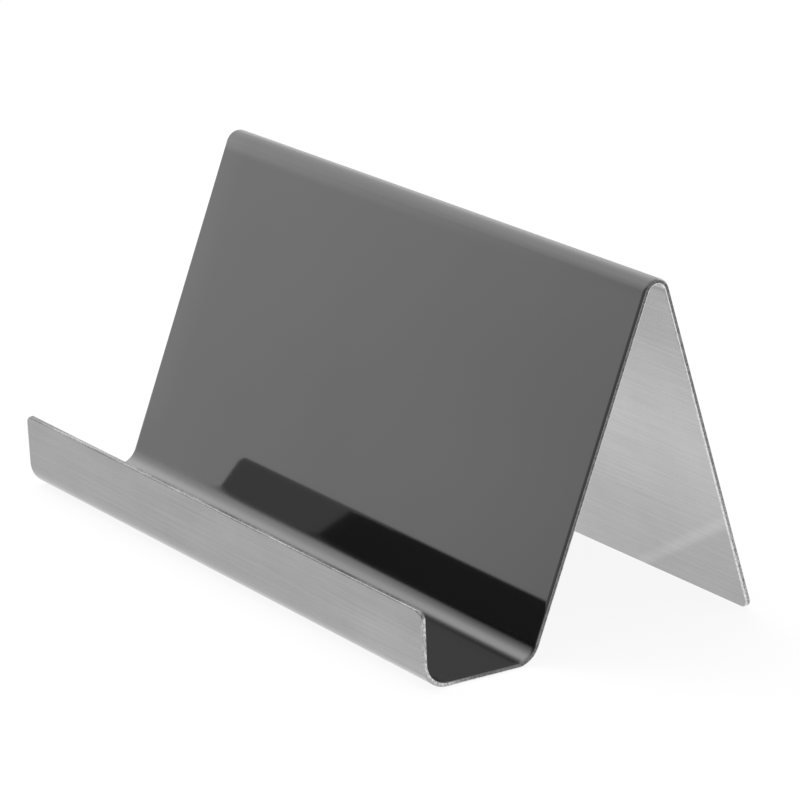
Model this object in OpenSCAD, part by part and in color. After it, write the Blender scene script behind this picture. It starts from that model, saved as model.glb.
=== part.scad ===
// Business card holder stand, folded from one sheet of stainless steel.
//
// The sheet runs from the free edge of the card lip, down and under the tray,
// up the backrest, over the ridge and down the rear leg to the desk.
// Lengths are millimetres and angles are degrees. X is along the folds, +Y
// points to the back, +Z up. The origin is on the desk, under the middle of
// the stand's box.

/* [Sheet] */
// Width of the sheet, along the folds
sheet_w = 100; // [70:1:160]
// Thickness of the sheet
sheet_t = 0.8; // [0.5:0.1:1.5]

/* [Card lip] */
// Straight length of the lip, from its bend to its free edge
lip_l = 7.5; // [4:0.5:20]
// Outward lean of the lip from the vertical
lip_lean = 5; // [0:1:20]
// Inside radius of the bend between the lip and the tray floor
lip_bend_r = 3.5; // [0.5:0.1:6]

/* [Tray floor] */
// Straight length of the floor that lies on the desk
floor_l = 12.4; // [6:0.1:30]

/* [Backrest] */
// Straight length of the backrest
back_l = 50.6; // [30:0.1:80]
// Slope of the backrest from the desk
back_slope = 71; // [55:1:80]
// Inside radius of the bend between the tray floor and the backrest
back_bend_r = 2.5; // [0.5:0.1:6]

/* [Rear leg] */
// Slope of the leg from the desk
leg_slope = 69; // [55:1:80]
// Inside radius of the ridge, where the sheet folds over into the leg
ridge_bend_r = 1.5; // [0.5:0.1:5]

/* [Corners] */
// Radius of the two corners of the lip's free edge
lip_corner_r = 1.2; // [0.2:0.1:3]
// Radius of the two corners of the leg's foot
leg_corner_r = 1.6; // [0.2:0.1:3]

/* [Hidden] */

// Facets of a full circle in the preview
$fn = 96;

// Neighbouring stretches of the sheet overlap by this hair's breadth, so that
// they join as one solid and never just touch.
lap = 0.0001;

// How far a cutter reaches past the sheet
cut_margin = 1;

// The sheet is drawn from the side, with x to the back and y up, as a route
// along its lower skin that starts level at the front of the tray floor.
// A straight stretch is [length]. A fold is [inside radius, turn], and a
// positive turn folds the sheet up.
to_ridge = [
    [floor_l],
    [back_bend_r, back_slope],
    [back_l],
    [ridge_bend_r, -(back_slope + leg_slope)]
];
to_lip = [
    [lip_bend_r, 90 - lip_lean],
    [lip_l]
];

function is_fold(stretch) = len(stretch) == 2;

// Height of a fold's centre over the lower skin, which is the outer skin of a
// fold that turns up and the inner skin of one that turns down
function centre_height(fold) = fold[1] > 0 ? fold[0] + sheet_t : -fold[0];

// Lower skin after the first so many stretches of a route, as [x, y, slope]
function skin_after(route, count) =
    count == 0 ? [0, 0, 0] :
    let (start = skin_after(route, count - 1), stretch = route[count - 1], slope = start[2])
    is_fold(stretch) ?
        let (h = centre_height(stretch), next = slope + stretch[1])
        [start[0] + h * (sin(next) - sin(slope)), start[1] + h * (cos(slope) - cos(next)), next] :
        [start[0] + stretch[0] * cos(slope), start[1] + stretch[0] * sin(slope), slope];

// The leg is as long as it must be for its foot to reach the desk.
leg_l = skin_after(to_ridge, len(to_ridge))[1] / sin(leg_slope);
to_foot = concat(to_ridge, [[leg_l]]);

// The stand's box runs from the lip's free edge to the upper skin of the foot.
front_x = -skin_after(to_lip, len(to_lip))[0];
back_x = skin_after(to_foot, len(to_foot))[0] + sheet_t * sin(leg_slope);
middle_x = (front_x + back_x) / 2;

// Moves its children from the start of a stretch to its end.
module past(stretch) {
    if (is_fold(stretch))
        translate([0, centre_height(stretch), 0])
            rotate([0, 0, stretch[1]])
                translate([0, -centre_height(stretch), 0])
                    children();
    else
        translate([stretch[0], 0, 0]) children();
}

// Moves its children past the first so many stretches of a route.
module past_first(count, route, i = 0) {
    if (i < count) past(route[i]) past_first(count, route, i + 1) children();
    else children();
}

// Fan between a fold's centre and its outer skin. It reaches just far enough
// into both neighbours for its straight sides to end inside the sheet.
module fold_fan(fold) {
    outer_r = fold[0] + sheet_t;
    middle_r = fold[0] + sheet_t / 2;
    side_lap = acos(middle_r / (middle_r + lap));
    first = fold[1] > 0 ? -90 : 90;
    reach = fold[1] > 0 ? side_lap : -side_lap;
    directions = [for (part = [0, 0.5, 1]) first - reach + part * (fold[1] + 2 * reach)];
    translate([0, centre_height(fold)])
        intersection() {
            circle(r = outer_r + lap);
            polygon(concat([[0, 0]], [for (a = directions) 2 * outer_r * [cos(a), sin(a)]]));
        }
}

// What a fold bends round, up to its inner skin
module fold_hollow(fold) {
    translate([0, centre_height(fold)]) circle(r = fold[0] + lap);
}

// Both kinds of stretch, before the folds are hollowed
module route_body(route) {
    for (i = [0 : len(route) - 1])
        past_first(i, route)
            if (is_fold(route[i])) fold_fan(route[i]);
            else square([route[i][0], sheet_t]);
}

module route_hollows(route) {
    for (i = [0 : len(route) - 1])
        past_first(i, route)
            if (is_fold(route[i])) fold_hollow(route[i]);
}

// The folded sheet seen from the side
module profile() {
    difference() {
        union() {
            route_body(to_foot);
            mirror([1, 0, 0]) route_body(to_lip);
        }
        route_hollows(to_foot);
        mirror([1, 0, 0]) route_hollows(to_lip);
    }
}

// Cutters that round both corners of a free edge, square to the sheet. The
// edge lies on the z axis and the sheet runs up to it from the left.
module corner_cutters(corner_r) {
    for (end = [0, 1])
        mirror([0, 0, end])
            translate([0, sheet_t + cut_margin, -sheet_w / 2])
                rotate([90, 0, 0])
                    linear_extrude(sheet_t + 2 * cut_margin)
                        difference() {
                            translate([-corner_r, -corner_r]) square(2 * corner_r);
                            translate([-corner_r, corner_r]) circle(r = corner_r + lap);
                        }
}

// The stand: one sheet, extruded along its folds and rounded at its corners
module bent_sheet() {
    color([0.62, 0.62, 0.63])
        translate([0, -middle_x, 0])
            rotate([90, 0, 90])
                difference() {
                    linear_extrude(sheet_w, center = true) profile();
                    past_first(len(to_foot), to_foot) corner_cutters(leg_corner_r);
                    mirror([1, 0, 0])
                        past_first(len(to_lip), to_lip) corner_cutters(lip_corner_r);
                }
}

bent_sheet();
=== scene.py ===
import math

import bpy
from mathutils import Matrix, Vector


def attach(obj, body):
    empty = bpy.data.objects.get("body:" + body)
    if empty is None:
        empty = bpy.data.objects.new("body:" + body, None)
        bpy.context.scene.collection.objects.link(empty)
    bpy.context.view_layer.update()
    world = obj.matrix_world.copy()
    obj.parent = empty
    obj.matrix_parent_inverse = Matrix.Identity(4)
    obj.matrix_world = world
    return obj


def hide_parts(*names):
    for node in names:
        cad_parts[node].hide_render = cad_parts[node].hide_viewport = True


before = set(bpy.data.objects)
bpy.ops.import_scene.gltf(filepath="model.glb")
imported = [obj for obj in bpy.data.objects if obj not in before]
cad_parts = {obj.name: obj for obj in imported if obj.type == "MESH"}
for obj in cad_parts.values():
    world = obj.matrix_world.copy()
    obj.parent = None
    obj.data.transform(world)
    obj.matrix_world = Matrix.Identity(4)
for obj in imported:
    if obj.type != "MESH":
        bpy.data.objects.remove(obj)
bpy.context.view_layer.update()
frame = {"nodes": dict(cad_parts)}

scene = bpy.context.scene
mm = 0.001
degree = math.pi / 180
print("frame loaded:", ", ".join(frame["nodes"]))


class Wire:
    # A node's output. Python's operators on it add Math nodes to its tree.
    def __init__(self, tree, socket=None):
        self.tree = tree
        self.socket = socket

    def node(self, kind, settings=None, inputs=None):
        # Adds any node: its type, its settings, and values or wires for its sockets
        made = self.tree.nodes.new(kind)
        for name, value in (settings or {}).items():
            setattr(made, name, value)
        for name, value in (inputs or {}).items():
            exact = [socket for socket in made.inputs if socket.identifier == name]
            target = exact[0] if exact else made.inputs[name]
            for one in value if isinstance(value, list) else [value]:
                if isinstance(one, Wire):
                    self.tree.links.new(one.socket, target)
                else:
                    target.default_value = one
        return Wire(self.tree, next((socket for socket in made.outputs if socket.enabled), None))

    def out(self, name):
        return Wire(self.tree, self.socket.node.outputs[name])

    def math(self, operation, *values):
        return self.node("ShaderNodeMath", {"operation": operation}, dict(enumerate(values)))

    def __add__(self, other):
        return self.math("ADD", self, other)

    def __radd__(self, other):
        return self.math("ADD", other, self)

    def __sub__(self, other):
        return self.math("SUBTRACT", self, other)

    def __rsub__(self, other):
        return self.math("SUBTRACT", other, self)

    def __mul__(self, other):
        return self.math("MULTIPLY", self, other)

    def __rmul__(self, other):
        return self.math("MULTIPLY", other, self)

    def __truediv__(self, other):
        return self.math("DIVIDE", self, other)

    def __neg__(self):
        return self.math("MULTIPLY", self, -1)

    def __lt__(self, other):
        return self.math("LESS_THAN", self, other)

    def __gt__(self, other):
        return self.math("GREATER_THAN", self, other)

    def sin(self):
        return self.math("SINE", self)

    def cos(self):
        return self.math("COSINE", self)

    def ceil(self):
        return self.math("CEIL", self)

    def largest(self, other):
        return self.math("MAXIMUM", self, other)

    def clamp(self, low, high):
        return self.math("MINIMUM", self.math("MAXIMUM", self, low), high)

    def smooth(self, low, high):
        # 0 at low, 1 at high and an even bend between them
        limits = {"Value": self, "From Min": low, "From Max": high}
        return self.node("ShaderNodeMapRange", {"interpolation_type": "SMOOTHSTEP"}, limits)

    def ramp(self, pair, origin=0.0):
        # As smooth, with both places measured from the origin
        return self.smooth(origin + pair[0], origin + pair[1])

    def spread(self, amount):
        # Turns a value round 0.5 into a factor round 1
        return 1 - amount / 2 + amount * self

    def vector(self, x, y, z):
        return self.node("ShaderNodeCombineXYZ", None, {"X": x, "Y": y, "Z": z})

    def axes(self):
        parts = self.node("ShaderNodeSeparateXYZ", None, {"Vector": self})
        return parts.out("X"), parts.out("Y"), parts.out("Z")

    def vectorMath(self, operation, *values):
        made = self.node("ShaderNodeVectorMath", {"operation": operation}, dict(enumerate(values)))
        return made.out("Value") if operation == "DOT_PRODUCT" else made

    def scaled(self, factor):
        return self.node("ShaderNodeVectorMath", {"operation": "SCALE"}, {0: self, "Scale": factor})

    def noise(self, scale, detail=2.0, roughness=0.5, seed=0.0):
        # Fractal noise round 0.5 at the place that the wire gives
        inputs = {"Vector": self, "W": seed, "Scale": scale}
        inputs = {**inputs, "Detail": detail, "Roughness": roughness}
        return self.node("ShaderNodeTexNoise", {"noise_dimensions": "4D"}, inputs)


# Materials. Each reads the place on the flat blank, in millimetres: across the sheet,
# along it from the lip's free edge, and up from its brushed skin. A rise, fall, ramp or
# across is a pair of places between which a value goes from 0 to 1. Along the blank, the
# pair is measured from the start or the end of a fold.

placeName = "blankPlace"
noiseMean = 0.5


def metal(name, base, roughness, bump=None, bumpDepth=0.0, edgeTint=1.0):
    # A steel finish. The three functions turn its place on the blank into wires.
    material = bpy.data.materials.new(name)
    material.use_nodes = True
    tree = material.node_tree
    tree.nodes.clear()
    start = Wire(tree)
    place = start.node("ShaderNodeAttribute", {"attribute_name": placeName}).out("Vector")
    grey = base(place)
    inputs = {
        "Base Color": start.vector(grey, grey, grey),
        "Metallic": 1.0,
        "Roughness": roughness(place),
        "Specular Tint": (edgeTint, edgeTint, edgeTint, 1),
    }
    if bump:
        relief = {"Strength": 1.0, "Distance": bumpDepth * mm, "Height": bump(place)}
        inputs["Normal"] = start.node("ShaderNodeBump", None, relief)
    shader = start.node("ShaderNodeBsdfPrincipled", None, inputs)
    start.node("ShaderNodeOutputMaterial", None, {"Surface": shader})
    return material


def foldSpans():
    # From where to where along the blank each fold runs: the lip bend, the rear bend, the ridge
    middle = sheet["Thickness"] / 2
    flats = [sheet["Lip length"], sheet["Floor length"], sheet["Back length"]]
    radii = [sheet["Lip bend radius"], sheet["Back bend radius"], sheet["Ridge bend radius"]]
    turns = [90 - sheet["Lip lean"], sheet["Back slope"], sheet["Back slope"] + sheet["Leg slope"]]
    spans = []
    total = 0
    for flat, radius, turn in zip(flats, radii, turns):
        start = total + flat
        total = start + (radius + middle) * turn * degree
        spans.append((start, total))
    return spans


def sheetLength():
    # Along the blank, to the foot, which reaches the desk
    backTurn, legTurn = sheet["Back slope"] * degree, sheet["Leg slope"] * degree
    rise = (sheet["Back bend radius"] + sheet["Thickness"]) * (1 - math.cos(backTurn))
    rise = rise + sheet["Back length"] * math.sin(backTurn)
    rise = rise + sheet["Ridge bend radius"] * (math.cos(legTurn) - math.cos(backTurn))
    return foldSpans()[2][1] + rise / math.sin(legTurn)


def mixed(level, goal, share):
    return level + (goal - level) * share


def band(wire, values, name, riseFrom, fallFrom):
    # 1 between the rise and the fall of that name, and 0 beyond them
    return wire.ramp(values[name + " rise"], riseFrom) * wire.ramp(values[name + " fall"], fallFrom)


polish = {
    "Grey": 0.2185,
    "Edge tint": 0.58,
    "Drift": 0.06,  # how far the grey wanders
    "Drift scale": 0.05,
    "Roughness": 0.04,
    "Haze": 0.03,  # how much rougher its duller patches are
    "Haze scale": (0.15, 1.5),  # across and along the blank
    "Fold haze": 0.24,  # and the folds
    # lighter in the folds: hazier stretched skin, and a painted highlight
    "Fold stretch and painted highlight": 0.015,
    "Fold rise": (-1, 1),
    "Fold fall": (1, -1),
    "Crest painted highlight": 0.3,  # painted highlight along the top of the ridge
    "Crest rise": (1.9, 3.1),
    "Crest fall": (0, -1),
    "Crest line painted highlight": 0.25,  # painted highlight in a thin line at its crest
    "Crest line rise": (2.15, 2.75),
    "Crest line fall": (4, 3.4),
    "Ridge dulling": 0.035,  # painted shade between the crest and the shoulder
    "Ridge dulling rise": (0.6, 1.2),
    "Ridge dulling fall": (2.0, 1.2),
    "Ridge dulling growth": 0.6,  # how much more of it there is on the right
    "Ridge dulling across": (0, 45),
    "Shoulder painted highlight": 0.025,  # painted highlight where the backrest runs into the ridge, mostly on the left
    "Shoulder rise": (-1.7, -0.2),
    "Shoulder fall": (1, 0.3),
    "Shoulder reach": 32,  # how far to the right it ends
    "Free edge painted shade": 0.45,  # painted shade on the lip, by its free edge
    "Free edge ramp": (0.6, 0.4),  # from that edge
    "Low painted highlight": 0.06,  # painted highlight on the backrest's lower right half
    "Low rise": (0, 2),
    "Low fall": (36, 14),
    "Low across": (-10, 30),
    "Left painted highlight": 0.07,  # painted highlight along the backrest's left edge
    "Left ramp": (0, 10),
    "Left across": (-43, -49),
    "Bend painted highlight": 0.1,  # painted highlight in the middle of the rear bend, mostly on the left
    "Bend rise": (-0.5, 1.2),
    "Bend fall": (0.3, -1.8),
    "Bend reach": 50,
    "Corner painted shade": 0.65,  # painted shade over the bend's upper half, towards the right
    "Corner rise": (2, 4),
    "Corner fall": (0.5, -0.5),
    "Corner across": (5, 45),
}


def polishedSteel():
    def inFolds(place):
        y = place.axes()[1]
        level = y * 0
        for foldStart, foldEnd in foldSpans():
            level = level + band(y, polish, "Fold", foldStart, foldEnd)
        return level

    def grey(place):
        x, y = place.axes()[:2]
        bendStart, bendEnd = foldSpans()[1]
        ridgeStart, ridgeEnd = foldSpans()[2]
        # Most bands below lighten or darken the grey as painted highlights and painted shade
        level = polish["Grey"] + polish["Fold stretch and painted highlight"] * inFolds(place)
        crest = band(y, polish, "Crest", ridgeStart, ridgeEnd)
        level = level + polish["Crest painted highlight"] * crest
        crestLine = band(y, polish, "Crest line", ridgeStart, ridgeStart)
        level = level + polish["Crest line painted highlight"] * crestLine
        # painted shade below the crest, more of it on the right
        ridgeShade = band(y, polish, "Ridge dulling", ridgeStart, ridgeStart)
        growth = polish["Ridge dulling growth"] * x.ramp(polish["Ridge dulling across"])
        level = level - polish["Ridge dulling"] * ridgeShade * (1 + growth)
        shoulder = band(y, polish, "Shoulder", ridgeStart, ridgeStart)
        level = level + polish["Shoulder painted highlight"] * shoulder * (1 - x / polish["Shoulder reach"])
        level = level * (1 - polish["Free edge painted shade"] * y.ramp(polish["Free edge ramp"]))
        lowRight = band(y, polish, "Low", bendEnd, bendEnd) * x.ramp(polish["Low across"])
        level = level * (1 + polish["Low painted highlight"] * lowRight)
        leftEdge = y.ramp(polish["Left ramp"], bendEnd) * x.ramp(polish["Left across"])
        level = level * (1 + polish["Left painted highlight"] * leftEdge)
        bend = band(y, polish, "Bend", bendStart, bendEnd)
        leftward = 1 - x / polish["Bend reach"]
        level = level * (1 + polish["Bend painted highlight"] * bend * leftward * leftward)
        corner = band(y, polish, "Corner", bendStart, bendEnd) * x.ramp(polish["Corner across"])
        level = level * (1 - polish["Corner painted shade"] * corner)
        drift = place.noise(polish["Drift scale"], detail=3.0)
        return level * drift.spread(polish["Drift"])

    def roughness(place):
        x, y, z = place.axes()
        across, along = polish["Haze scale"]
        rubs = place.vector(x * across, y * along, z).noise(1.0, detail=4.0, roughness=0.6)
        return polish["Roughness"] + polish["Haze"] * rubs + polish["Fold haze"] * inFolds(place)

    return metal("polishedSteel", grey, roughness, edgeTint=polish["Edge tint"])


brush = {
    "Grey": 0.382,
    "Grey ramp": (0, 3),  # from the lip's grey to it
    # darker than the rest of the brushed skin: painted shade on the lip
    "Lip painted-light grey": 0.275,
    "Lip bend painted shade": 0.09,  # painted shade, less of it towards the right
    "Lip bend ramp": (-0.5, 1),
    "Lip bend across": (45, 20),
    "Lip low painted shade": 0.08,  # painted shade in a band just above the lip's lower outline
    "Lip low rise": (0.8, 1.6),
    "Lip low fall": (3, 2.2),
    "Lip corner painted highlight": 0.1,  # painted highlight on its lower right corner
    "Lip corner rise": (2, 6),  # from the free edge
    "Lip corner fall": (1.4, 0.6),
    "Lip corner across": (20, 44),
    # darker towards the foot: painted shade
    "Foot painted-light grey": 0.31,
    "Foot ramp": (24, 50),
    "Under ridge painted highlight grey": 0.46,  # painted highlight at the top of the leg
    "Under ridge fall": (9, 1),
    # darker over the ridge: painted shade
    "Ridge painted-light grey": 0.33,
    "Ridge rise": (-1, 0.6),
    "Ridge fall": (1, -0.6),
    "Roughness": 0.28,
    "Roughness spread": 0.4,
    "Grain length": 20.0,  # millimetres
    "Grain width": 0.17,
    "Grain depth": 0.001,
    "Streak length": 22.0,
    "Streak width": 0.45,
    "Streaks": 0.26,
    "Mottle": 0.18,
    "Mottle scale": 0.12,
    "Painted streak": 0.1,  # painted light streak across the foot's right corner
    "Rub ramp": (-1.4, -0.2),
    "Painted corner shade": 0.08,  # painted shade on the corner beyond it
    "Painted corner shade ramp": (0, 1.4),
    "Rub start": 26.4,
    "Rub slope": 33.0,
}


def brushedSteel():
    def grain(place):
        x, y, z = place.axes()
        stroke = place.vector(x / brush["Grain length"], y / brush["Grain width"], z)
        return stroke.noise(1.0, detail=3.0, roughness=0.6)

    def lipGrey(x, y, bendStart):
        # The lip's darker grey is painted shade, with more painted shade and a painted highlight
        # below
        level = brush["Lip painted-light grey"]
        bend = y.ramp(brush["Lip bend ramp"], bendStart) * x.ramp(brush["Lip bend across"])
        level = level * (1 - brush["Lip bend painted shade"] * bend)
        low = band(y, brush, "Lip low", bendStart, bendStart)
        level = level * (1 - brush["Lip low painted shade"] * low)
        corner = band(y, brush, "Lip corner", 0, bendStart) * x.ramp(brush["Lip corner across"])
        return level * (1 + brush["Lip corner painted highlight"] * corner)

    def paintedStreak(x, y):
        # How much painted light its streak adds and how much painted shade the corner beyond it
        # takes
        slope = brush["Rub slope"] * degree
        beyond = (x - brush["Rub start"]) * math.sin(slope) + (y - sheetLength()) * math.cos(slope)
        stroke = brush["Painted streak"] * beyond.ramp(brush["Rub ramp"])
        corner = beyond.ramp(brush["Painted corner shade ramp"])
        return stroke - (brush["Painted streak"] + brush["Painted corner shade"]) * corner

    def grey(place):
        x, y, z = place.axes()
        lipStart, lipEnd = foldSpans()[0]
        ridgeStart, legStart = foldSpans()[2]
        # The lip, foot and ridge greys are painted light and painted shade on one brushed finish
        level = mixed(lipGrey(x, y, lipStart), brush["Grey"], y.ramp(brush["Grey ramp"], lipEnd))
        level = mixed(level, brush["Foot painted-light grey"], y.ramp(brush["Foot ramp"], legStart))
        underRidge = y.smooth(ridgeStart, legStart) * y.ramp(brush["Under ridge fall"], legStart)
        level = mixed(level, brush["Under ridge painted highlight grey"], underRidge)
        level = mixed(level, brush["Ridge painted-light grey"], band(y, brush, "Ridge", ridgeStart, legStart))
        streaks = place.vector(x / brush["Streak length"], y / brush["Streak width"], z)
        streaks = brush["Streaks"] * (streaks.noise(1.0, seed=3.0) - noiseMean)
        mottle = place.noise(brush["Mottle scale"], detail=3.0, roughness=0.6, seed=2.0)
        mottle = brush["Mottle"] * (mottle - noiseMean)
        return level * (1 + streaks + mottle) * (1 + paintedStreak(x, y))

    def roughness(place):
        return brush["Roughness"] * grain(place).spread(brush["Roughness spread"])

    return metal("brushedSteel", grey, roughness, grain, brush["Grain depth"])


shear = {
    "Grey": 0.125,
    "Grey ramp": (-2, 5),
    # lighter than the other walls: painted light on the lip's walls
    "Lip painted-light grey": 0.42,
    # lighter along the leg's edges: painted light
    "Leg painted-light grey": 0.18,
    "Leg ramp": (-2, 4),
    # lighter towards the foot: painted light
    "Foot painted-light grey": 0.3,
    "Foot ramp": (20, 50),
    "Free edge painted-light grey": 0.21,  # painted shade on the lip's free edge
    "Free edge ramp": (0.6, 0.2),  # from that edge
    "Free edge streak": 9.0,  # how long its lighter and darker stretches are
    "Free edge contrast": (0.35, 0.65),
    "Free edge spread": 0.8,
    # lighter towards the left: painted light
    "Free edge left painted-light grey": 0.36,
    "Free edge left across": (-15, -35),
    "Free edge end painted shade": 0.42,  # painted shade towards its left end
    "Free edge end across": (-34, -44),
    "Roughness": 0.4,
    "Roughness spread": 0.4,
    "Tear size": 0.3,
    "Tear depth": 0.02,
    "Tear contrast": (0.32, 0.68),
    "Tear spread": 1.0,
}


def edgeDrift(place, values, seed):
    # The lighter and darker stretches of the lip's free edge
    x = place.axes()[0]
    drift = place.vector(x / values["Free edge streak"], 0, 0).noise(1.0, seed=seed)
    return drift.ramp(values["Free edge contrast"]).spread(values["Free edge spread"])


def shearedSteel():
    def tears(place):
        return place.scaled(1 / shear["Tear size"]).noise(1.0, detail=3.0, roughness=0.6)

    def grey(place):
        x, y = place.axes()[:2]
        lipEnd = foldSpans()[0][1]
        legStart = foldSpans()[2][1]
        # The lip, leg, foot and free edge greys are painted light and painted shade on one sheared
        # wall
        level = mixed(shear["Lip painted-light grey"], shear["Grey"], y.ramp(shear["Grey ramp"], lipEnd))
        level = mixed(level, shear["Leg painted-light grey"], y.ramp(shear["Leg ramp"], legStart))
        level = mixed(level, shear["Foot painted-light grey"], y.ramp(shear["Foot ramp"], legStart))
        edge = shear["Free edge painted-light grey"] * edgeDrift(place, shear, 1.0)
        edge = mixed(edge, shear["Free edge left painted-light grey"], x.ramp(shear["Free edge left across"]))
        edge = edge * (1 - shear["Free edge end painted shade"] * x.ramp(shear["Free edge end across"]))
        level = mixed(level, edge, y.ramp(shear["Free edge ramp"]))
        return level * tears(place).ramp(shear["Tear contrast"]).spread(shear["Tear spread"])

    def roughness(place):
        return shear["Roughness"] * tears(place).spread(shear["Roughness spread"])

    return metal("shearedSteel", grey, roughness, tears, shear["Tear depth"])


deburr = {
    "Grey": 0.52,
    "Grey ramp": (-2, 5),
    # darker than the rest of the chamfer: painted shade on the lip
    "Lip painted-light grey": 0.3,
    # lighter on the lip's free edge: painted light
    "Free edge painted-light grey": 0.34,
    "Free edge ramp": (0.6, 0.2),
    "Free edge streak": 11.0,
    "Free edge contrast": (0.35, 0.65),
    "Free edge spread": 0.5,
    "Roughness": 0.25,
    "Roughness spread": 0.4,
    "Nick size": 0.4,
    "Nick contrast": (0.3, 0.6),
    "Nick shade": 0.7,
    "Nick shine": 0.5,
}


def deburredSteel():
    def nicks(place):
        return place.scaled(1 / deburr["Nick size"]).noise(1.0, detail=4.0, roughness=0.7)

    def grey(place):
        y = place.axes()[1]
        lipEnd = foldSpans()[0][1]
        # The lip and free edge greys are painted light and painted shade on one chamfer
        level = mixed(deburr["Lip painted-light grey"], deburr["Grey"], y.ramp(deburr["Grey ramp"], lipEnd))
        edge = deburr["Free edge painted-light grey"] * edgeDrift(place, deburr, 2.0)
        level = mixed(level, edge, y.ramp(deburr["Free edge ramp"]))
        shine = nicks(place).ramp(deburr["Nick contrast"])
        return level * (deburr["Nick shade"] + deburr["Nick shine"] * shine)

    def roughness(place):
        return deburr["Roughness"] * nicks(place).spread(deburr["Roughness spread"])

    return metal("deburredSteel", grey, roughness)


print("materials made")


# The sheet: a flat blank, sheared all round, which the folds then bend into the stand

sheet = {  # millimetres and degrees
    "Width": 100.0,
    "Thickness": 0.8,
    "Lip length": 7.65,
    "Lip lean": 5.0,  # outwards from the vertical
    "Lip bend radius": 3.5,  # inside, as the other two
    "Floor length": 12.04,
    "Back bend radius": 3.0,
    "Back length": 50.24,
    "Back slope": 71.0,
    "Ridge bend radius": 1.5,
    "Leg slope": 69.0,
    "Lip corner radius": 1.2,
    "Leg corner radius": 1.6,
    "Rollover width": 0.5,  # where the shear drew the polished skin down
    "Rollover depth": 0.2,
    "Chamfer": 0.2,  # where the brushed side was deburred
    "Lip end chamfer": 0.26,
    "Chamfer wander": 0.05,
    "Shear wander": 0.03,
    "Edge step": 0.25,  # between the points along the edges
    "Fold step": 1.25,
    "Corner points": 12,
    "Seed": 4,
}
rolloverSteps = 6
rolloverSpread = 0.3  # how uneven its depth is
chamferSteps = 2
shearScale = 2.2
burrScale = 0.9
flatMargin = 0.06
weldDistance = 0.002
rightAngle = 90 * degree
rimFaceLimit = 1.5  # an edge of the rim has one face, and any other has two


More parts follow.
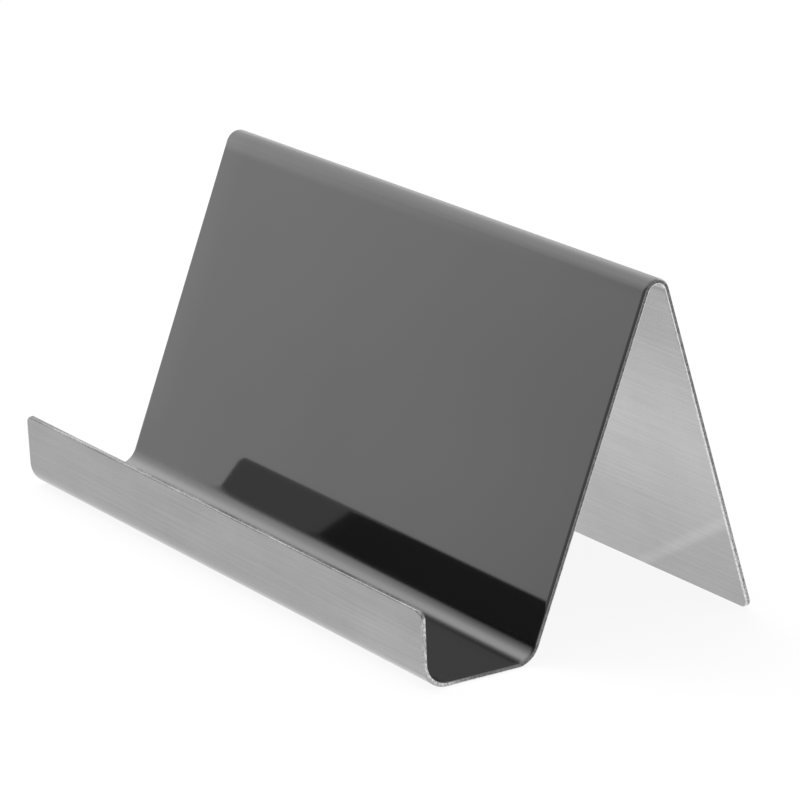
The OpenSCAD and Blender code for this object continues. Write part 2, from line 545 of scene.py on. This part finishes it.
def sheetTree(finishes):
    tree = bpy.data.node_groups.new("foldedSheet", "GeometryNodeTree")
    for name, value in sheet.items():
        kind = "NodeSocketInt" if isinstance(value, int) else "NodeSocketFloat"
        tree.interface.new_socket(name, in_out="INPUT", socket_type=kind)
    tree.interface.new_socket("Sheet", in_out="OUTPUT", socket_type="NodeSocketGeometry")
    start = Wire(tree)
    given = start.node("NodeGroupInput")
    size = {name: given.out(name) for name in sheet}
    half = size["Width"] / 2
    thick = size["Thickness"]
    lipTurn = (90 - size["Lip lean"]) * degree
    backTurn = size["Back slope"] * degree
    legTurn = size["Leg slope"] * degree

    # The leg is as long as it must be for its foot to reach the desk
    rise = (size["Back bend radius"] + thick) * (1 - backTurn.cos())
    rise = rise + size["Back length"] * backTurn.sin()
    rise = rise + size["Ridge bend radius"] * (legTurn.cos() - backTurn.cos())
    legLength = rise / legTurn.sin()

    # Stretches from the lip's free edge to the foot: a length, or a fold's radius at mid
    # thickness and its turn
    plan = [
        (size["Lip length"], None),
        (size["Lip bend radius"] + thick / 2, lipTurn),
        (size["Floor length"], None),
        (size["Back bend radius"] + thick / 2, backTurn),
        (size["Back length"], None),
        (-size["Ridge bend radius"] - thick / 2, -backTurn - legTurn),
        (legLength, None),
    ]
    stretches = []
    total = start.math("ADD", 0, 0)
    slope = -lipTurn
    for measure, turn in plan:
        length = measure if turn is None else measure * turn
        stretch = {"from": total, "length": length, "slope": slope}
        stretches.append({**stretch, "radius": measure, "turn": turn})
        total = total + length
        slope = slope if turn is None else slope + turn

    # The polished skin, flat, and narrower than the blank by the rollover and a flat margin
    inset = size["Rollover width"] + flatMargin

    def placed(shape, place, scale=(1, 1, 1)):
        inputs = {"Geometry": shape, "Translation": place, "Scale": scale}
        return start.node("GeometryNodeTransform", None, inputs)

    def joined(*shapes):
        return start.node("GeometryNodeJoinGeometry", None, {"Geometry": list(shapes)})

    def welded(shape):
        inputs = {"Geometry": shape, "Distance": weldDistance}
        return start.node("GeometryNodeMergeByDistance", None, inputs)

    def line(x0, y0, x1, y1):
        ends = {"Start": start.vector(x0, y0, 0), "End": start.vector(x1, y1, 0)}
        return start.node("GeometryNodeCurvePrimitiveLine", None, ends)

    def strip(near, far, rows):
        sides = {"Size X": 2 * (half - inset), "Size Y": far - near}
        counts = {"Vertices X": 3, "Vertices Y": rows + 1}
        grid = start.node("GeometryNodeMeshGrid", None, {**sides, **counts})
        return placed(grid, start.vector(0, (near + far) / 2, 0))

    def cap(radius, freeEdge, side):
        # The corner zone of a free edge: its outline, drawn on the right, mirrored and filled
        count = ((half - radius) / size["Edge step"]).ceil()
        edge = {"Curve": line(half - radius, inset, 0, inset), "Count": count}
        edge = start.node("GeometryNodeResampleCurve", {"mode": "COUNT"}, edge)
        arc = {
            "Resolution": size["Corner points"],
            "Radius": radius - inset,
            "Start Angle": 0,
            "Sweep Angle": -rightAngle,
        }
        arc = start.node("GeometryNodeCurveArc", {"mode": "RADIUS"}, arc)
        corner = placed(arc, start.vector(half - radius, radius, 0))
        right = joined(edge, corner, line(0, radius, half - inset, radius))
        outline = joined(right, placed(right, (0, 0, 0), (-1, 1, 1)))
        outline = welded(start.node("GeometryNodeCurveToMesh", None, {"Curve": outline}))
        outline = start.node("GeometryNodeMeshToCurve", None, {"Mesh": outline})
        outline = placed(outline, start.vector(0, freeEdge, 0), (1, side, 1))
        return start.node("GeometryNodeFillCurve", {"mode": "NGONS"}, {"Curve": outline})

    skins = [cap(size["Lip corner radius"], 0, 1), cap(size["Leg corner radius"], total, -1)]
    for stretch in stretches:
        near = stretch["from"]
        far = near + stretch["length"]
        if stretch is stretches[0]:
            near = size["Lip corner radius"]
        if stretch is stretches[-1]:
            far = total - size["Leg corner radius"]
        if stretch["turn"] is None:
            rows = (far - near) / size["Edge step"]
        else:
            rows = stretch["turn"].largest(-stretch["turn"]) / degree / size["Fold step"]
        skins.append(strip(near, far, rows.ceil()))
    skin = welded(joined(*skins))

    # Where a point of the rim lies: the core is a rectangle through the corners' centres, and
    # the outline is round it at a corner's radius. Inner points are on the core itself.
    x, y, z = start.node("GeometryNodeInputPosition").axes()
    radius = size["Leg corner radius"]
    radius = radius + (size["Lip corner radius"] - radius) * (y < total / 2)
    coreX = x.clamp(radius - half, half - radius)
    coreY = y.clamp(radius, total - radius)
    outward = start.vectorMath("NORMALIZE", start.vector(x - coreX, y - coreY, 0))

    def rimPlace(pull, height):
        core = start.vector(coreX, coreY, height)
        return start.vectorMath("ADD", core, outward.scaled(radius - pull))

    def moved(mesh, place, points=True):
        inputs = {"Geometry": mesh, "Selection": points, "Position": place}
        return start.node("GeometryNodeSetPosition", None, inputs)

    def creased(mesh, edges):
        inputs = {"Geometry": mesh, "Selection": edges, "Shade Smooth": False}
        return start.node("GeometryNodeSetShadeSmooth", {"domain": "EDGE"}, inputs)

    def marked(mesh, name, faces=True):
        settings = {"data_type": "BOOLEAN", "domain": "FACE"}
        inputs = {"Geometry": mesh, "Selection": faces, "Name": name, "Value": True}
        return start.node("GeometryNodeStoreNamedAttribute", settings, inputs)

    def walled(mesh, edges, place):
        # One more row of faces along the rim, out to the place given
        inputs = {"Mesh": mesh, "Selection": edges, "Offset Scale": 0}
        wall = start.node("GeometryNodeExtrudeMesh", {"mode": "EDGES"}, inputs)
        edges = wall.out("Top")
        return moved(wall, place, edges), edges, wall.out("Side")

    # The shear leaves a rollover, then a torn wall, and a deburred corner below, all a
    # little uneven
    outlinePoint = rimPlace(0, 0)
    seed = size["Seed"]
    shearNoise = outlinePoint.noise(shearScale, detail=3.0, roughness=0.6, seed=seed)
    burrNoise = outlinePoint.noise(burrScale, detail=4.0, roughness=0.7, seed=seed + 1)
    drawn = size["Rollover depth"] * shearNoise.spread(rolloverSpread)
    wallPull = size["Shear wander"] * shearNoise
    atLipEnd = x.math("ABSOLUTE", x) > half - radius
    atLipEnd = atLipEnd * (y < size["Lip length"] + size["Lip bend radius"])
    chamfer = size["Chamfer"] + (size["Lip end chamfer"] - size["Chamfer"]) * atLipEnd
    chamfer = chamfer + size["Chamfer wander"] * (2 * burrNoise - 1)
    rim = start.node("GeometryNodeInputMeshEdgeNeighbors") < rimFaceLimit
    shell = creased(moved(skin, rimPlace(inset, thick)), rim)
    shell, edges, sides = walled(shell, rim, rimPlace(size["Rollover width"], thick))
    for step in range(1, rolloverSteps + 1):
        angle = rightAngle * step / rolloverSteps
        pull = size["Rollover width"] * (1 - math.sin(angle))
        height = thick - drawn * (1 - math.cos(angle))
        shell, edges, sides = walled(shell, edges, rimPlace(pull, height))
    shell = creased(shell, edges)
    shell, edges, sides = walled(shell, edges, rimPlace(wallPull, chamfer))
    shell = creased(marked(shell, "sheared", sides), edges)
    for step in range(1, chamferSteps + 1):
        angle = rightAngle * step / chamferSteps
        pull = wallPull + (chamfer - wallPull) * (1 - math.cos(angle))
        height = chamfer * (1 - math.sin(angle))
        shell, edges, sides = walled(shell, edges, rimPlace(pull, height))
        shell = marked(shell, "deburred", sides)
    shell = creased(shell, edges)
    under = start.node("GeometryNodeFlipFaces", None, {"Mesh": moved(skin, rimPlace(chamfer, 0))})
    blank = welded(joined(shell, creased(under, rim)))
    blank = marked(blank, "brushed", z < 2 * weldDistance)
    blank = start.node("GeometryNodeSetShadeSmooth", {"domain": "FACE"}, {"Geometry": blank})
    settings = {"data_type": "FLOAT_VECTOR", "domain": "POINT"}
    keep = {"Geometry": blank, "Name": placeName, "Value": start.vector(x, y, z)}
    blank = start.node("GeometryNodeStoreNamedAttribute", settings, keep)

    # The folds: the sheet's middle surface is followed to each point's place along the blank
    tilt = -lipTurn
    depth = 0
    level = 0
    for stretch in stretches:
        run = (y - stretch["from"]).clamp(0, stretch["length"])
        slope = stretch["slope"]
        if stretch["turn"] is None:
            depth = depth + run * slope.cos()
            level = level + run * slope.sin()
        else:
            turned = slope + run / stretch["radius"]
            depth = depth + stretch["radius"] * (turned.sin() - slope.sin())
            level = level + stretch["radius"] * (slope.cos() - turned.cos())
            tilt = tilt + run / stretch["radius"]
    above = z - thick / 2
    folded = moved(blank, start.vector(x, depth - above * tilt.sin(), level + above * tilt.cos()))

    # On the desk, and in the middle of the box, in metres
    box = start.node("GeometryNodeBoundBox", None, {"Geometry": folded})
    low = box.out("Min").axes()
    high = box.out("Max").axes()
    toDesk = start.vector(0, (low[1] + high[1]) * (-mm / 2), low[2] * -mm)
    stand = placed(folded, toDesk, (mm, mm, mm))
    stand = start.node("GeometryNodeRealizeInstances", None, {"Geometry": stand})
    for name, material in finishes.items():
        faces = True
        if name:
            chosen = {"data_type": "BOOLEAN"}
            faces = start.node("GeometryNodeInputNamedAttribute", chosen, {"Name": name})
        inputs = {"Geometry": stand, "Selection": faces, "Material": material}
        stand = start.node("GeometryNodeSetMaterial", None, inputs)
    start.node("NodeGroupOutput", None, {"Sheet": stand})
    return tree


def plainPiece(name, tree, values):
    # Runs a geometry tree and keeps its result as a plain mesh
    piece = bpy.data.objects.new(name, bpy.data.meshes.new(name))
    scene.collection.objects.link(piece)
    modifier = piece.modifiers.new("maker", "NODES")
    modifier.node_group = tree
    for item in tree.interface.items_tree:
        if item.in_out == "INPUT":
            modifier[item.identifier] = values[item.name]
    graph = bpy.context.evaluated_depsgraph_get()
    mesh = bpy.data.meshes.new_from_object(piece.evaluated_get(graph), depsgraph=graph)
    piece.modifiers.remove(modifier)
    while mesh.materials and mesh.materials[0] is None:
        mesh.materials.pop(index=0)
    piece.data = mesh
    return piece


finishes = {
    "": polishedSteel(),
    "brushed": brushedSteel(),
    "sheared": shearedSteel(),
    "deburred": deburredSteel(),
}
stand = plainPiece("foldedSheet", sheetTree(finishes), sheet)
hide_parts("bent_sheet")
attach(stand, "root")
print("sheet folded:", len(stand.data.polygons), "faces")


# The studio: a white floor, soft light from all round and the photograph's camera

studio = {
    "Floor size": 3.0,  # metres
    "Floor grey": 0.9,
    "Floor in metal": 1.3,  # how bright metal sees the floor
    "Floor glow": 0.9,  # how much of the floor shows white whatever the shadow
    "Diffuse light": 1.0,
    "Lamp power": 8.0,
    "Lamp size": 0.8,  # metres, as its place and the point it looks at
    "Lamp place": (-0.5, -0.2, 0.9),
    "Lamp aim": (0, 0, 0.03),
}


def floorMaterial():
    material = bpy.data.materials.new("studioFloor")
    material.use_nodes = True
    tree = material.node_tree
    tree.nodes.clear()
    start = Wire(tree)
    ray = start.node("ShaderNodeLightPath")
    isGlossy = ray.out("Is Glossy Ray")
    seen = ray.out("Is Camera Ray") * studio["Floor glow"]
    seen = seen.largest(isGlossy).largest(ray.out("Is Transmission Ray"))
    bright = 1 + isGlossy * (studio["Floor in metal"] - 1)
    grey = studio["Floor grey"]
    paper = start.node("ShaderNodeBsdfDiffuse", None, {"Color": (grey, grey, grey, 1)})
    light = start.node("ShaderNodeEmission", None, {"Strength": bright})
    surface = start.node("ShaderNodeMixShader", None, {0: seen, 1: paper, 2: light})
    start.node("ShaderNodeOutputMaterial", None, {"Surface": surface})
    return material


def makeFloor():
    half = studio["Floor size"] / 2
    mesh = bpy.data.meshes.new("studioFloor")
    corners = [(-half, -half, 0), (half, -half, 0), (half, half, 0), (-half, half, 0)]
    mesh.from_pydata(corners, [], [(0, 1, 2, 3)])
    mesh.materials.append(floorMaterial())
    floor = bpy.data.objects.new("studioFloor", mesh)
    scene.collection.objects.link(floor)


glow = {  # what polished steel sees: a level, and patches that add to it
    "Level": 1.02,
    "Patches": [  # direction, how wide in degrees (full, gone), how much brighter
        ((-0.76, 0.2, 0.62), (5, 36), 0.68),
        ((-0.76, 0.52, 0.38), (2, 12), 1.2),
        ((0.75, 0.55, 0.35), (0, 60), -0.4),
        ((0.337, -0.925, -0.174), (55, 79), -0.75),
    ],
}


def makeWorld():
    world = bpy.data.worlds.new("studio")
    world.use_nodes = True
    tree = world.node_tree
    tree.nodes.clear()
    start = Wire(tree)
    direction = start.node("ShaderNodeTexCoord").out("Generated")
    level = glow["Level"]
    for toward, (full, gone), gain in glow["Patches"]:
        toward = Vector(toward).normalized()
        cosine = start.vectorMath("DOT_PRODUCT", direction, tuple(toward))
        level = level + gain * cosine.smooth(math.cos(gone * degree), math.cos(full * degree))
    ray = start.node("ShaderNodeLightPath")
    isGlossy = ray.out("Is Glossy Ray")
    isCamera = ray.out("Is Camera Ray").largest(ray.out("Is Transmission Ray"))
    strength = studio["Diffuse light"] + isGlossy * (level - studio["Diffuse light"])
    strength = strength + isCamera * (1 - strength)
    background = start.node("ShaderNodeBackground", None, {"Strength": strength})
    start.node("ShaderNodeOutputWorld", None, {"Surface": background})
    scene.world = world


def makeLamp():
    # A soft lamp that looks at the stand
    data = bpy.data.lights.new("skyPanel", "AREA")
    data.size = studio["Lamp size"]
    data.energy = studio["Lamp power"]
    lamp = bpy.data.objects.new("skyPanel", data)
    scene.collection.objects.link(lamp)
    lamp.location = studio["Lamp place"]
    away = Vector(studio["Lamp place"]) - Vector(studio["Lamp aim"])
    lamp.rotation_euler = away.to_track_quat("Z", "Y").to_euler()
    lamp.visible_glossy = False


view = {  # the photograph's camera, millimetres and degrees
    "Lens": 163.76,
    "Azimuth": 52.573,  # from the front towards the right
    "Elevation": 17.454,
    "Roll": 1.899,
    "Distance": 528.154,
    "Target": (4.776, 0.083, 23.895),
    "Sensor": 36,
    "Nearest": 0.01,  # metres
}


def makeCamera():
    data = bpy.data.cameras.new("camera")
    data.lens = view["Lens"]
    data.sensor_width = view["Sensor"]
    data.clip_start = view["Nearest"]
    camera = bpy.data.objects.new("camera", data)
    scene.collection.objects.link(camera)
    turn = Matrix.Rotation(view["Azimuth"] * degree, 3, "Z")
    turn = turn @ Matrix.Rotation((90 - view["Elevation"]) * degree, 3, "X")
    turn = turn @ Matrix.Rotation(view["Roll"] * degree, 3, "Z")
    back = turn @ Vector((0, 0, view["Distance"]))
    camera.location = (Vector(view["Target"]) + back) * mm
    camera.rotation_euler = turn.to_euler()
    scene.camera = camera


makeFloor()
makeWorld()
makeLamp()
makeCamera()
scene.view_settings.view_transform = "Standard"
print("studio set up")
